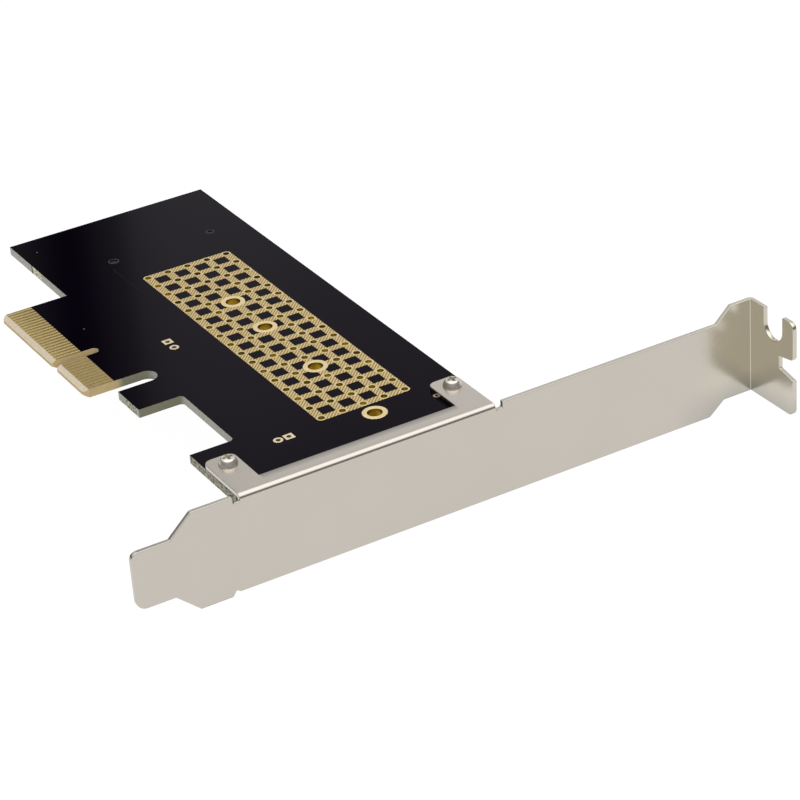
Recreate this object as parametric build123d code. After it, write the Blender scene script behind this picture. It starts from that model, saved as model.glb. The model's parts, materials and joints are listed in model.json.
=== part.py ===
from build123d import *
import math
import os

# Adapter card that carries a flash drive module in an expansion slot: a bare circuit board with an
# edge connector on one long side, a folded slot bracket screwed to one end, and a module socket on
# the component side. The solder side faces up, as the card lies in an upright computer.
#
# Millimetres. The origin is the middle of the edge connector's key notch, at the mating edge and
# half way through the board. +X runs from the mating edge to the board's free long edge, and along
# the bracket from its tongue to its screw flange. +Y runs from the bracket into the computer.
# +Z is the solder side, and -Z the component side.

# Circuit board
board_t = 1.57
board_height = 53.0          # mating edge to the free long edge
board_back = 47.1            # key notch to the end away from the bracket
board_end_gap = 0.5          # between the board's end and the bracket's plate
lower_edge = 4.65            # mating edge to the edge of the hook and the foot
shoulder = 12.85             # mating edge to the neck, the side slot's end and the recess
hook_w = 7.85
recess_w = 18.6
recess_corner_r = 0.8
side_slot_w = 3.8

# Edge connector
contact_pitch = 1.0
contact_w = 0.7
contact_end = 5.72           # mating edge to where the solder mask starts
first_contact = 1.5          # notch middle to the nearest contact's middle, both ways
short_count = 11
long_count = 21
section_margin = 0.65        # last contact's middle to the section's end
key_w = 1.9
key_depth = 8.55
mating_corner_r = 1.1
key_mouth_r = 0.45
bevel_len = 0.95
bevel_deg = 29.0
presence_setback = 1.0       # the card-present contacts start later than the others
presence_solder_pins = (1,)
presence_component_pins = (17, 31)

# Plating
copper_t = 0.05
via_sides = 6                # vias, small holes and rings are polygons, which keeps the mesh light
small_sides = 8
head_sides = 20
ring_sides = 16
grid_pitch = 4.0
grid_columns = 5
grid_rows = 17
grid_border = 0.88           # outer vias' middles to the pattern's edge
grid_corner = 0.45
grid_middle_y = -12.93
window_w = 2.45
via_r = 0.5
via_ring_gap = 0.1           # least copper between a via and a standoff hole's ring
standoff_hole_r = 1.325
standoff_ring_r = 2.17
pin_hole_r = 0.45
pin_pad_r = 0.85
ground_via_r = 0.35
ground_ring_r = 0.65
status_pins = (19.5, -5.15)  # square pad's middle
status_pitch = 2.54
power_pins = (20.55, -47.0)  # square pad's middle
power_pitch = 2.0
ground_via_inset = 0.05      # under a screw tab, which covers part of its ring
ground_via_drop = 0.12       # beyond the screws, towards the bracket

# Bracket sheet
sheet_t = 0.86
bend_r = 1.0                 # outside radius of both folds
plate_front = -59.8          # y of the bracket's outer face
plate_top = 0.9              # heights are from the board's solder face
plate_bottom = -16.62
lower_bottom = -17.15
step_x = 2.5
step_rise = 0.45
step_run = 0.7
tongue_end = -15.0
tongue_top = -2.85
tongue_bottom = -13.45
tongue_top_r = 1.3
tongue_bottom_r = 2.0
shoulder_x = -8.1
shoulder_run = 4.1
relief_w = 1.3
relief_depth = 0.15          # below the fold's tangent line
relief_r = 0.4
flange_outer = 105.02
kink_top_inset = 7.92        # flange's outer face to where the top edge rises
kink_bottom_inset = 9.62
kink_run = 3.05
flange_end = -71.75
flange_top = 3.7
flange_bottom = -14.15
flange_corner_r = 1.4
slot_w = 5.0
slot_y = -66.15
slot_bottom = -1.6
notch_floor_y = -67.85
notch_floor = (-3.98, -6.38)
notch_mouth = (-3.35, -7.26)
notch_corner_r = 0.9

# Fold and screw tabs
fold_edge_gap = 0.55         # fold's end to the board's free long edge
strip_edge = -55.98          # y of the strip's inner edge
tab_end = -47.0
tab_w = 5.55
tab_corner_r = 1.4
tab_screw_inset = 2.98       # tab's end to the screw's axis
tab_screw_offset = 0.42      # tab's middle to the screw's axis, towards the free long edge

# Screws and nuts
screw_r = 1.0
screw_hole_r = 1.15
head_r = 1.65
head_h = 1.3
head_edge_h = 0.75
head_flat_r = 1.1
recess_reach = 0.9
recess_wide = 0.45
recess_depth = 0.7
recess_floor_reach = 0.4
recess_floor_wide = 0.27
screw_stick_out = 0.6
nut_flats = 4.0
nut_h = 1.6
nut_clearance = 0.02

# Module line: the socket and the four standoff holes
module_x = 35.8
module_stop = 31.3           # y where the module's edge ends in the socket
module_lengths = (30, 42, 60, 80)
module_t = 0.8
module_edge_w = 19.85
module_lift = 2.45           # board's component face to the module's near face

# Module socket
socket_end_wall = 0.925      # beside the module's slot
socket_h = 4.2
socket_mouth = 27.1
socket_rear = 33.6
slot_side_gap = 0.1
slot_room = 0.15             # above and below the module's edge
slot_end_gap = 0.1
mouth_chamfer = 0.35
row_side_gap = 0.15          # beside the last terminals, in the spring cavities
roof_recess = 0.35
floor_wall = 0.9
foot_slit = 0.3
socket_pitch = 0.5
upper_positions = 38
lower_positions = 37
socket_key_x = 6.125         # from the module line
socket_key_w = 1.1
key_gap_half = 1.0
terminal_w = 0.2
terminal_t = 0.15
terminal_foot = 1.1
spring_tip = 1.3             # housing's mouth to the springs' tips
spring_reach = 0.15          # the springs' tips stand this far into the slot
spring_bend = 0.6            # module's stop to the lower springs' bend
peg_inset = 0.95             # housing's ends to the pegs' middles
peg_y = 29.35
peg_large_r = 0.75
peg_small_r = 0.5
peg_gap = 0.08
peg_short = 0.2              # pegs stop this far under the solder face
peg_root = 1.0               # pegs start this deep in the housing
hold_down_t = 0.25
hold_down_len = 2.0
hold_down_h = 1.8
hold_down_foot = 1.2

# Small surface-mounted parts: length, width, height
bulk_capacitor = (2.0, 1.25, 1.25)
small_capacitor = (1.0, 0.5, 0.5)
resistor = (1.0, 0.5, 0.35)
terminal_share = 0.22
bulk_places = ((17.6, 30.6), (17.6, 33.4), (17.6, 36.2))
small_places = ((27.4, 37.2), (30.6, 37.2), (39.4, 37.2), (42.6, 37.2))
resistor_places = ((23.0, -5.05), (23.0, -7.6), (24.2, -46.9))

cut_past = 1.0               # cutting solids run this far past what they cut

board_top = board_t / 2
board_bottom = -board_t / 2
plate_back = plate_front + sheet_t
board_front = plate_back + board_end_gap
long_end = first_contact + (long_count - 1) * contact_pitch + section_margin
short_end = -(first_contact + (short_count - 1) * contact_pitch + section_margin)
hook_start = short_end - side_slot_w
hook_end = hook_start - hook_w
recess_end = hook_end - recess_w
tab_top = board_top + sheet_t
fold_start = lower_edge
fold_end = board_height - fold_edge_gap
standoff_places = [(module_x, module_stop - length) for length in module_lengths]
screw_y = tab_end - tab_screw_inset
tab_middles = [fold_start + tab_w / 2, fold_end - tab_w / 2]
screw_places = [(x + tab_screw_offset, screw_y) for x in tab_middles]
tab_edge = tab_middles[1] - tab_w / 2
ground_via = (tab_edge + ground_via_inset, screw_y - ground_via_drop)
tangent_z = tab_top - bend_r
slot_w_inside = module_edge_w + 2 * slot_side_gap
row_positions = max(upper_positions, lower_positions)
contact_row_w = (row_positions - 1) * socket_pitch + terminal_w + 2 * row_side_gap
socket_w = slot_w_inside + 2 * socket_end_wall
housing_mouth_h = module_lift - slot_room
housing_roof_h = module_lift + module_t + slot_room


def block(x, y, z):
    """A box between two x, two y and two z values."""
    size = [abs(b - a) for a, b in (x, y, z)]
    middle = [(a + b) / 2 for a, b in (x, y, z)]
    return Pos(*middle) * Box(*size)


def post(place, radius, bottom, top):
    """An upright cylinder between two heights."""
    return Pos(*place, (bottom + top) / 2) * Cylinder(radius, top - bottom)


def prism(place, sketch, bottom, top):
    """An upright solid with the sketch as its section, between two heights."""
    return Pos(*place, bottom) * extrude(sketch, amount=top - bottom)


def corner_rounded(sketch, corners, radius):
    """Rounds the sketch's corners that lie at the given points."""
    picked = [min(sketch.vertices(), key=lambda v: (v.X - x) ** 2 + (v.Y - y) ** 2) for x, y in corners]
    return fillet(picked, radius)


def u_cut(mouth, end, middle, width):
    """A slot in X with a round end, from beyond its mouth to the end."""
    radius = width / 2
    straight = Pos((mouth + end - radius) / 2, middle) * Rectangle(end - radius - mouth, width)
    return straight + Pos(end - radius, middle) * Circle(radius)


def board_outline():
    corners = [
        (0, long_end), (0, short_end - side_slot_w / 2), (lower_edge, short_end - side_slot_w / 2),
        (lower_edge, hook_end), (shoulder, hook_end), (shoulder, recess_end), (lower_edge, recess_end),
        (lower_edge, board_front), (board_height, board_front), (board_height, board_back),
        (shoulder, board_back), (shoulder, long_end),
    ]
    outline = make_face(Polyline(*corners, close=True))
    outline -= u_cut(-cut_past, key_depth, 0, key_w)
    outline -= u_cut(-cut_past, shoulder, short_end - side_slot_w / 2, side_slot_w)
    outline = corner_rounded(outline, [(0, long_end), (0, short_end)], mating_corner_r)
    outline = corner_rounded(outline, [(0, key_w / 2), (0, -key_w / 2)], key_mouth_r)
    return corner_rounded(outline, [(shoulder, hook_end), (shoulder, recess_end)], recess_corner_r)


def bevel_wedge(face):
    """The wedge ground off the mating edge at the board's face, which is +1 or -1."""
    drop = bevel_len * math.tan(math.radians(bevel_deg))
    surface = face * board_top
    corners = [(0, surface), (bevel_len, surface), (0, surface - face * drop)]
    profile = make_face(Polyline(*corners, close=True))
    wedge = extrude(Plane.XZ * profile, amount=long_end - short_end + side_slot_w, both=True)
    along = (hook_start, long_end + cut_past)
    return wedge & block((-cut_past, bevel_len + cut_past), along, (-board_t, board_t))


def circuit_board():
    holes = [Pos(*place) * barrel_outline() for place in standoff_places]
    holes += [Pos(*place) * small_round(screw_hole_r) for place in screw_places]
    holes += [Pos(*place) * small_round(radius + peg_gap) for place, radius in peg_sites()]
    holes += [Pos(*place) * small_round(pin_hole_r) for place in pin_sites()]
    holes.append(Pos(*ground_via) * small_round(ground_via_r))
    board = prism((0, 0), board_outline() - holes, board_bottom, board_top)
    return board - bevel_wedge(1) - bevel_wedge(-1)


def small_round(radius):
    return RegularPolygon(radius, small_sides)


def barrel_outline():
    """A standoff hole before plating: a polygon whose flats clear the round bore by the copper."""
    return RegularPolygon(standoff_hole_r + copper_t, ring_sides, major_radius=False)


def pin_sites():
    """The two unfitted pin pairs, each with its square-padded pin first."""
    status = [status_pins, (status_pins[0], status_pins[1] - status_pitch)]
    power = [power_pins, (power_pins[0] - power_pitch, power_pins[1])]
    return status + power


def peg_sites():
    """The socket's locating pegs, the larger one first."""
    half = socket_w / 2 - peg_inset
    return [((module_x - half, peg_y), peg_large_r), ((module_x + half, peg_y), peg_small_r)]


def contact_middles():
    """Contact number and y, counted from the end beside the bracket."""
    short = [-first_contact - (short_count - 1 - i) * contact_pitch for i in range(short_count)]
    long = [first_contact + i * contact_pitch for i in range(long_count)]
    return list(enumerate(short + long, start=1))


def edge_contacts(bottom, presence_pins):
    contacts = []
    for number, y in contact_middles():
        start = bevel_len + (presence_setback if number in presence_pins else 0)
        half = contact_w / 2
        contacts.append(block((start, contact_end), (y - half, y + half), (bottom, bottom + copper_t)))
    return contacts


def clear_of_rings(place, reach):
    return all(math.dist(place, ring) > standoff_ring_r + reach for ring in standoff_places)


def standoff_ring():
    return RegularPolygon(standoff_ring_r, ring_sides, major_radius=False)


def grid_sketch(with_openings):
    """The heat-spreading copper: crossing bars, a via at each crossing, mask windows between."""
    columns = [module_x + (i - (grid_columns - 1) / 2) * grid_pitch for i in range(grid_columns)]
    rows = [grid_middle_y + ((grid_rows - 1) / 2 - j) * grid_pitch for j in range(grid_rows)]
    width = columns[-1] - columns[0] + 2 * grid_border
    length = rows[0] - rows[-1] + 2 * grid_border
    pattern = Rectangle(width, length)
    pattern = Pos(module_x, grid_middle_y) * chamfer(pattern.vertices(), grid_corner)
    cuts = [Pos(*place) * standoff_ring() for place in standoff_places]
    if with_openings:
        half = grid_pitch / 2
        window = Rectangle(window_w, window_w)
        cuts += [Pos(x + half, y - half) * window for x in columns[:-1] for y in rows[:-1]]
        sites = [(x, y) for x in columns for y in rows]
        via = RegularPolygon(via_r, via_sides)
        cuts += [Pos(*site) * via for site in sites if clear_of_rings(site, via_r + via_ring_gap)]
    return pattern - cuts


def thermal_grid(bottom, with_openings):
    return Pos(0, 0, bottom) * extrude(grid_sketch(with_openings), amount=copper_t)


def plated_hole(place):
    """A ring on each face, joined by the barrel that lines the hole."""
    eyelet = prism(place, barrel_outline(), board_bottom - copper_t, board_top + copper_t)
    for bottom in (board_top, board_bottom - copper_t):
        eyelet += prism(place, standoff_ring(), bottom, bottom + copper_t)
    return eyelet - post(place, standoff_hole_r, board_bottom - cut_past, board_top + cut_past)


def flat_pad(place, hole_r, pad, bottom):
    return prism(place, pad - small_round(hole_r), bottom, bottom + copper_t)


def pin_pads():
    """Square pad on each pair's first pin, round on the other, and the grounding via's rings."""
    square = Rectangle(2 * pin_pad_r, 2 * pin_pad_r)
    pads = []
    for bottom in (board_top, board_bottom - copper_t):
        for number, place in enumerate(pin_sites()):
            pad = small_round(pin_pad_r) if number % 2 else square
            pads.append(flat_pad(place, pin_hole_r, pad, bottom))
        pads.append(flat_pad(ground_via, ground_via_r, small_round(ground_ring_r), bottom))
    under_tab = (ground_via[1] - cut_past, ground_via[1] + cut_past)
    covered = block((tab_edge, board_height), under_tab, (board_top, tab_top))
    return [pad - covered for pad in pads]


def at_height(points):
    """Bracket heights are measured from the board's solder face."""
    return [(x, z + board_top) for x, z in points]


def plate_outline():
    """The bracket's long plate seen from its outer face, x across and z up."""
    tangent = tangent_z - board_top
    relief = tangent - relief_depth
    left, right = fold_start - relief_w, fold_end + relief_w
    flange_x = flange_outer - bend_r
    kink_top, kink_bottom = flange_outer - kink_top_inset, flange_outer - kink_bottom_inset
    corners = at_height([
        (tongue_end, tongue_top), (shoulder_x, tongue_top), (shoulder_x + shoulder_run, plate_top),
        (left, plate_top), (left, relief), (fold_start, relief), (fold_start, tangent),
        (fold_end, tangent), (fold_end, relief), (right, relief), (right, plate_top),
        (kink_top, plate_top), (kink_top + kink_run, flange_top), (flange_x, flange_top),
        (flange_x, flange_bottom), (kink_bottom + kink_run, flange_bottom), (kink_bottom, plate_bottom),
        (step_x + step_run, plate_bottom), (step_x, plate_bottom + step_rise),
        (step_x - step_run, lower_bottom), (shoulder_x + shoulder_run, lower_bottom),
        (shoulder_x, tongue_bottom), (tongue_end, tongue_bottom),
    ])
    outline = make_face(Polyline(*corners, close=True))
    outline = corner_rounded(outline, at_height([(tongue_end, tongue_top)]), tongue_top_r)
    outline = corner_rounded(outline, at_height([(tongue_end, tongue_bottom)]), tongue_bottom_r)
    return corner_rounded(outline, at_height([(left, relief), (right, relief)]), relief_r)


def quarter_bend(centre, toward):
    """A quarter ring of sheet about the centre, kept on the side that toward points to."""
    ring = Circle(bend_r) - Circle(bend_r - sheet_t)
    keep = Pos(toward[0] * bend_r / 2, toward[1] * bend_r / 2) * Rectangle(bend_r, bend_r)
    return Pos(*centre) * (ring & keep)


def screw_strip():
    """The folded-over strip with its two screw tabs, seen from above."""
    strip_start = plate_front + bend_r
    length = fold_end - fold_start
    middle = (fold_start + fold_end) / 2
    strip = Pos(middle, (strip_start + strip_edge) / 2) * Rectangle(length, strip_edge - strip_start)
    for x in tab_middles:
        tab = Pos(x, (strip_start + tab_end) / 2) * Rectangle(tab_w, tab_end - strip_start)
        ends = [(x - tab_w / 2, tab_end), (x + tab_w / 2, tab_end)]
        strip += corner_rounded(tab, ends, tab_corner_r)
    return strip - [Pos(*place) * small_round(screw_hole_r) for place in screw_places]


def flange_outline():
    """The screw flange seen along the bracket, y across and z up."""
    start = plate_back - bend_r
    corners = at_height([
        (start, flange_top), (flange_end, flange_top), (flange_end, notch_mouth[0]),
        (notch_floor_y, notch_floor[0]), (notch_floor_y, notch_floor[1]), (flange_end, notch_mouth[1]),
        (flange_end, flange_bottom), (start, flange_bottom),
    ])
    outline = make_face(Polyline(*corners, close=True))
    ends = at_height([(flange_end, flange_top), (flange_end, flange_bottom)])
    outline = corner_rounded(outline, ends, flange_corner_r)
    outline = corner_rounded(outline, at_height([(flange_end, notch_mouth[0])]), notch_corner_r)
    radius = slot_w / 2
    round_z = slot_bottom + radius + board_top
    above = flange_top + board_top + cut_past
    outline -= Pos(slot_y, round_z) * Circle(radius)
    outline -= Pos(slot_y, (round_z + above) / 2) * Rectangle(slot_w, above - round_z)
    return outline


def bracket():
    """One folded sheet: plate and tongue, the strip over the board, and the screw flange."""
    side_plane = Plane(origin=(0, plate_front, 0), x_dir=(1, 0, 0), z_dir=(0, -1, 0))
    plate = extrude(side_plane * plate_outline(), amount=-sheet_t)
    strip_fold = quarter_bend((plate_front + bend_r, tangent_z), (-1, 1))
    along_fold = Plane(origin=(fold_start, 0, 0), x_dir=(0, 1, 0), z_dir=(1, 0, 0))
    plate += extrude(along_fold * strip_fold, amount=fold_end - fold_start)
    plate += Pos(0, 0, board_top) * extrude(screw_strip(), amount=sheet_t)
    flange_fold = quarter_bend((flange_outer - bend_r, plate_back - bend_r), (1, 1))
    plate += Pos(0, 0, flange_bottom + board_top) * extrude(flange_fold, amount=flange_top - flange_bottom)
    flange_plane = Plane(origin=(flange_outer - sheet_t, 0, 0), x_dir=(0, 1, 0), z_dir=(1, 0, 0))
    return plate + extrude(flange_plane * flange_outline(), amount=sheet_t)


def cross_recess():
    """A tapered cross, wide at the head's top and narrow at its floor."""
    wide = Rectangle(2 * recess_reach, recess_wide) + Rectangle(recess_wide, 2 * recess_reach)
    floor = Rectangle(2 * recess_floor_reach, recess_floor_wide)
    floor += Rectangle(recess_floor_wide, 2 * recess_floor_reach)
    return loft([Pos(0, 0, -recess_depth) * floor, wide])


def bracket_screw(place):
    """Pan-head screw: tapered head with a cross recess, and a plain shank in place of its thread."""
    shank_end = board_bottom - nut_h - screw_stick_out
    disc = RegularPolygon(head_r, head_sides)
    head = prism((0, 0), disc, 0, head_edge_h)
    crown = RegularPolygon(head_flat_r, head_sides)
    head += loft([Pos(0, 0, head_edge_h) * disc, Pos(0, 0, head_h) * crown])
    head -= Pos(0, 0, head_h) * cross_recess()
    shank = prism((0, 0), small_round(screw_r), shank_end - tab_top, 0)
    return Pos(*place, tab_top) * (head + shank)


def bracket_nut(place):
    hexagon = RegularPolygon(nut_flats / 2, 6, major_radius=False, rotation=30)
    return prism(place, hexagon - small_round(screw_r + nut_clearance), board_bottom - nut_h, board_bottom)


def below(low, high):
    """Two distances from the board's component face, as z values."""
    return board_bottom - high, board_bottom - low


def socket_span(width):
    return module_x - width / 2, module_x + width / 2


def socket_housing():
    """Moulded body: module slot with its key rib, spring cavities and two locating pegs."""
    body = block(socket_span(socket_w), (socket_mouth, socket_rear), below(0, socket_h))
    row = socket_span(contact_row_w)
    slot_end = module_stop + slot_end_gap
    slot = block(socket_span(slot_w_inside), (socket_mouth - cut_past, slot_end),
                 below(housing_mouth_h, housing_roof_h))
    roof = block(row, (socket_mouth + mouth_chamfer, socket_rear + cut_past),
                 below(housing_roof_h - slot_room, housing_roof_h + roof_recess))
    floor = block(row, (socket_mouth + floor_wall, slot_end), below(-cut_past, housing_mouth_h + slot_room))
    feet = block(row, (socket_mouth - cut_past, slot_end), below(-cut_past, foot_slit))
    key_x = module_x + socket_key_x
    half = socket_key_w / 2
    rib = block((key_x - half, key_x + half), (socket_mouth + mouth_chamfer, slot_end),
                below(0, housing_roof_h + roof_recess))
    body = body - slot - roof - floor - feet - mouth_lead_in() + rib
    for place, radius in peg_sites():
        body += prism(place, small_round(radius), board_bottom - peg_root, board_top - peg_short)
    return body


def mouth_lead_in():
    """Sloped lips above and below the slot's mouth."""
    c = mouth_chamfer
    low, high = board_bottom - housing_mouth_h, board_bottom - housing_roof_h
    profile = make_face(Polyline(
        (socket_mouth, low + c), (socket_mouth, high - c), (socket_mouth + c, high),
        (socket_mouth + c, low), close=True))
    x0, x1 = socket_span(slot_w_inside)
    return extrude(Plane(origin=(x0, 0, 0), x_dir=(0, 1, 0), z_dir=(1, 0, 0)) * profile, amount=x1 - x0)


def bent_strip(path, thickness):
    """The outline of a strip along a path, mitred at its bends."""
    points = [Vector(*point) for point in path]
    steps = [(b - a).normalized() for a, b in zip(points, points[1:])]
    half = []
    for before, after in zip(steps[:1] + steps, steps + steps[-1:]):
        square = before.rotate(Axis.Z, 90)
        mitre = (square + after.rotate(Axis.Z, 90)).normalized()
        half.append(mitre * (thickness / 2 / mitre.dot(square)))
    one_side = [point + reach for point, reach in zip(points, half)]
    other_side = [point - reach for point, reach in zip(points, half)]
    return make_face(Polyline(*one_side, *reversed(other_side), close=True))


def terminal(path, x):
    """A stamped strip bent along a path of (y, distance from the component face)."""
    strip = bent_strip([(y, board_bottom - h) for y, h in path], terminal_t)
    plane = Plane(origin=(x - terminal_w / 2, 0, 0), x_dir=(0, 1, 0), z_dir=(1, 0, 0))
    return extrude(plane * strip, amount=terminal_w)


def socket_positions(count):
    """Contact offsets from the module line, without those that the key rib takes."""
    offsets = [(i - (count - 1) / 2) * socket_pitch for i in range(count)]
    return [module_x + x for x in offsets if abs(x - socket_key_x) > key_gap_half]


def upper_terminal(x):
    """Spring over the module's edge, through the roof recess and down the rear wall to its foot."""
    h = housing_roof_h + terminal_t
    rear = socket_rear + terminal_t / 2
    foot = terminal_t / 2
    path = [(socket_mouth + spring_tip, housing_roof_h - spring_reach), (rear, h), (rear, foot),
            (socket_rear + terminal_foot, foot)]
    return terminal(path, x)


def lower_terminal(x):
    """Spring under the module's edge, folded back above its foot at the mouth."""
    foot = terminal_t / 2
    path = [(socket_mouth - terminal_foot, foot), (module_stop - spring_bend, foot),
            (socket_mouth + spring_tip, housing_mouth_h + spring_reach)]
    return terminal(path, x)


def hold_down(side):
    """Solder tab against one end of the housing, with its foot on the board."""
    face = module_x + side * socket_w / 2
    middle = (socket_mouth + socket_rear) / 2
    y = (middle - hold_down_len / 2, middle + hold_down_len / 2)
    upright = block(sorted((face, face + side * hold_down_t)), y, below(0, hold_down_h))
    return upright + block(sorted((face, face + side * hold_down_foot)), y, below(0, hold_down_t))


def chip(place, size):
    """Body and two end terminals of a small surface-mounted part, lying along Y."""
    x, y = place
    length, width, height = size
    end = length * terminal_share
    xs = (x - width / 2, x + width / 2)
    body = block(xs, (y - length / 2 + end, y + length / 2 - end), below(0, height))
    ends = [block(xs, sorted((y + side * length / 2, y + side * (length / 2 - end))), below(0, height))
            for side in (-1, 1)]
    return body, ends


def chips(places, size):
    built = [chip(place, size) for place in places]
    return [body for body, _ in built], [end for _, ends in built for end in ends]


def write(name, pieces):
    """One STEP file for each node. A node of several like pieces is a group of separate solids."""
    export_step(Compound(children=pieces), f"parts/{name}.step")


os.makedirs("parts", exist_ok=True)
write("circuit_board", [circuit_board()])
write("bracket", [bracket()])
write("bracket_screws", [bracket_screw(place) for place in screw_places])
write("bracket_nuts", [bracket_nut(place) for place in screw_places])
write("solder_side_contacts", edge_contacts(board_top, presence_solder_pins))
write("component_side_contacts", edge_contacts(board_bottom - copper_t, presence_component_pins))
write("solder_side_thermal_grid", [thermal_grid(board_top, True)])
write("component_side_thermal_grid", [thermal_grid(board_bottom - copper_t, False)])
write("standoff_hole_plating", [plated_hole(place) for place in standoff_places])
write("pin_pads", pin_pads())
write("socket_housing", [socket_housing()])
write("socket_upper_terminals", [upper_terminal(x) for x in socket_positions(upper_positions)])
write("socket_lower_terminals", [lower_terminal(x) for x in socket_positions(lower_positions)])
write("socket_hold_downs", [hold_down(side) for side in (-1, 1)])
for part_name, places, size in (
    ("bulk_capacitor", bulk_places, bulk_capacitor),
    ("small_capacitor", small_places, small_capacitor),
    ("resistor", resistor_places, resistor),
):
    bodies, ends = chips(places, size)
    write(f"{part_name}_bodies", bodies)
    write(f"{part_name}_ends", ends)
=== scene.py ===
import json
import math

import bpy
from bpy.props import FloatProperty, FloatVectorProperty, IntProperty, PointerProperty
from mathutils import Matrix, Vector


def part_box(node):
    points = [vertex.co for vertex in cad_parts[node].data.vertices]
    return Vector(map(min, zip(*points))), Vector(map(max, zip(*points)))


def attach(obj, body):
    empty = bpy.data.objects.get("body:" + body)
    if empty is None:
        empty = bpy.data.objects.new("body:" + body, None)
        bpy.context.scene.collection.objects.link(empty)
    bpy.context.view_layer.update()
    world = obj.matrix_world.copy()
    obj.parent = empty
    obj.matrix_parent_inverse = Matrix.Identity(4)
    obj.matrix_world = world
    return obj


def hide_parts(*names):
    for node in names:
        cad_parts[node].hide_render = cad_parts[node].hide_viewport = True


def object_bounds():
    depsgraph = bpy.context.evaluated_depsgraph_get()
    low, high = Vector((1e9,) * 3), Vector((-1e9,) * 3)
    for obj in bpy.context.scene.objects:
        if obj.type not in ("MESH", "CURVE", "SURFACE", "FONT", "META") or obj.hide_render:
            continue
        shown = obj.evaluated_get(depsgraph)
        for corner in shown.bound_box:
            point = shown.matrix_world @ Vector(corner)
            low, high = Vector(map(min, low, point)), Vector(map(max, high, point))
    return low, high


bl_info = {
    "name": "Drive module adapter card",
    "version": (1, 0, 0),
    "blender": (4, 5, 0),
    "location": "View3D > Sidebar > Adapter card",
    "description": "Dresses the packed adapter card with its copper, plating, bracket finish and fasteners",
    "category": "Object",
}

# Lengths below are in metres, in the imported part's frame: +X from the mating edge to the board's free
# long edge, +Y from the bracket into the computer, +Z out of the solder side.
MM = 0.001
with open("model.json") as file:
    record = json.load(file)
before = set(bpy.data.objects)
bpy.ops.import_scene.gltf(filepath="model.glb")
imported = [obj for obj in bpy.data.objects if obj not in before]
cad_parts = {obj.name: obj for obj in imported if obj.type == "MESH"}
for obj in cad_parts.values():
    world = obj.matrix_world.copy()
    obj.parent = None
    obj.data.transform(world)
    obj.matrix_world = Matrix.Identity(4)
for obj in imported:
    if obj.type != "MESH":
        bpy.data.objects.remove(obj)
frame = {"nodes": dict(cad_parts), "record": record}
cad_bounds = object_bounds()
NODES = frame["nodes"]
MOUNTS = {mount["name"]: Vector(mount["pos_m"]) for mount in frame["record"]["mounts"]}
STANDOFFS = [place for name, place in MOUNTS.items() if name.startswith("standoff_hole")]
BOARD_LOW, BOARD_HIGH = (Vector(corner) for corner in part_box("circuit_board"))
GRID_LOW, GRID_HIGH = (Vector(corner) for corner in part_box("solder_side_thermal_grid"))

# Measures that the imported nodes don't give by their boxes
SHEET = 0.86 * MM
STANDOFF_BORE = 1.325 * MM
GRID_COLUMNS = 5
GRID_ROWS = 17
VIA_SIDES = 20
CONTACT_PITCH = 1.0 * MM
CONTACT_WIDTH = 0.7 * MM
# Centre and radius
PEG_HOLES = (((25.8 * MM, 29.35 * MM), 0.83 * MM), ((45.8 * MM, 29.35 * MM), 0.58 * MM))
# Width of the painted highlight ring round each peg hole
PEG_RIM_HIGHLIGHT = 0.17 * MM
# Centre, and whether the pad is square
PIN_PADS = ((19.5 * MM, -5.15 * MM, True), (19.5 * MM, -7.69 * MM, False),
            (20.55 * MM, -47.0 * MM, True), (18.55 * MM, -47.0 * MM, False))
GROUND_VIA = (46.95 * MM, -50.1 * MM)
TAB_EDGE = 46.9 * MM
# Left end, right end, inner edge and reach of the band of painted shade along the strip between the screw tabs
STRIP = (10.2 * MM, TAB_EDGE, -55.98 * MM, 1.7 * MM)
# Radius and height from the seat, as shares of the head's
HEAD_PROFILE = ((0.985, 0.0), (1.0, 0.04), (1.0, 0.1), (0.93, 0.3), (0.86, 0.5), (0.795, 0.68), (0.76, 0.76),
                (0.715, 0.83), (0.65, 0.885), (0.56, 0.93), (0.42, 0.965), (0.25, 0.99), (0.07, 1.0))

# Marks on the board: scars run along Y from low to high and have a tone, and traces lie at X from low to high Y
CLOTH_LAYER = 0.2 * MM
SCARS = ((33.2 * MM, 37.1 * MM, 1.8), (-22.8 * MM, -17.2 * MM, 1.0), (-58.0 * MM, -42.6 * MM, 0.9))
SCAR_REACH = 13.2 * MM
CRACK = (37.0 * MM, 37.45 * MM)
SPECKS = ((15.98 * MM, 41.76 * MM), (9.83 * MM, 8.41 * MM))
SPECK_RADIUS = 0.16 * MM
TRACES = ((24.2 * MM, 13.6 * MM, 26.3 * MM), (27.6 * MM, 21.3 * MM, 25.4 * MM))
TRACE_HALF = 0.11 * MM


class CardSizes(bpy.types.PropertyGroup):
    """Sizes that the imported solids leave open"""

    via_pitch: FloatProperty(
        name="Via pitch", description="Distance between neighbouring thermal vias",
        default=4.0 * MM, unit="LENGTH")
    via_diameter: FloatProperty(
        name="Via hole", description="Open hole of a thermal via", default=1.25 * MM, unit="LENGTH")
    via_land: FloatProperty(
        name="Via land", description="Plain copper round a thermal via", default=1.8 * MM, unit="LENGTH")
    window: FloatProperty(
        name="Mask window", description="Side of a square of solder mask in the copper field",
        default=2.45 * MM, unit="LENGTH")
    field_corner: FloatProperty(
        name="Field corner", description="Rounding of the copper field's corners",
        default=0.85 * MM, unit="LENGTH")
    hatch_pitch: FloatProperty(
        name="Hatch pitch", description="Distance between the fine diagonal lines on the copper field",
        default=0.5 * MM, unit="LENGTH")
    ring_diameter: FloatProperty(
        name="Standoff ring", description="Plain copper ring round a standoff hole",
        default=4.34 * MM, unit="LENGTH")
    sheet_rollover: FloatProperty(
        name="Sheet edge", description="Rounding along the stamped edges of the bracket",
        default=0.15 * MM, unit="LENGTH")
    thread_turns: IntProperty(
        name="Thread turns", description="Turns of thread that show below each nut", default=3, min=1)


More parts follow.
